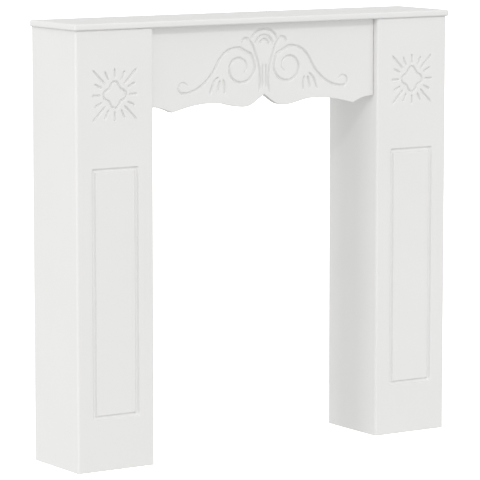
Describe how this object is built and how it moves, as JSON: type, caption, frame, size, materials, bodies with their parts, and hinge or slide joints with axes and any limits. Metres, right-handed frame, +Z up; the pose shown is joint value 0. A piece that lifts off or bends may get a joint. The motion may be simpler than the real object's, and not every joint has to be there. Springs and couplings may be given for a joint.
{
  "type": "fireplace mantelpiece",
  "caption": "White-painted fireplace mantelpiece: flat shelf, two boxed jambs with routed sun rosettes and panels, and a wavy frieze with routed scrolls.",
  "frame": {"origin": "on the floor, at the middle of the outline seen from above", "axes": "+X to the right along the shelf as seen from the front, +Y towards the wall behind, +Z up; the front faces -Y"},
  "size_m": [1, 0.195, 0.98],
  "materials": {
    "white_paint": "satin white paint sprayed on fibreboard"
  },
  "bodies": {
    "root": {"mantel_shelf": "white_paint", "left_jamb_front": "white_paint", "left_jamb_outer_side": "white_paint", "left_jamb_inner_side": "white_paint", "right_jamb_front": "white_paint", "right_jamb_outer_side": "white_paint", "right_jamb_inner_side": "white_paint", "frieze_board": "white_paint"}
  },
  "joints": []
}
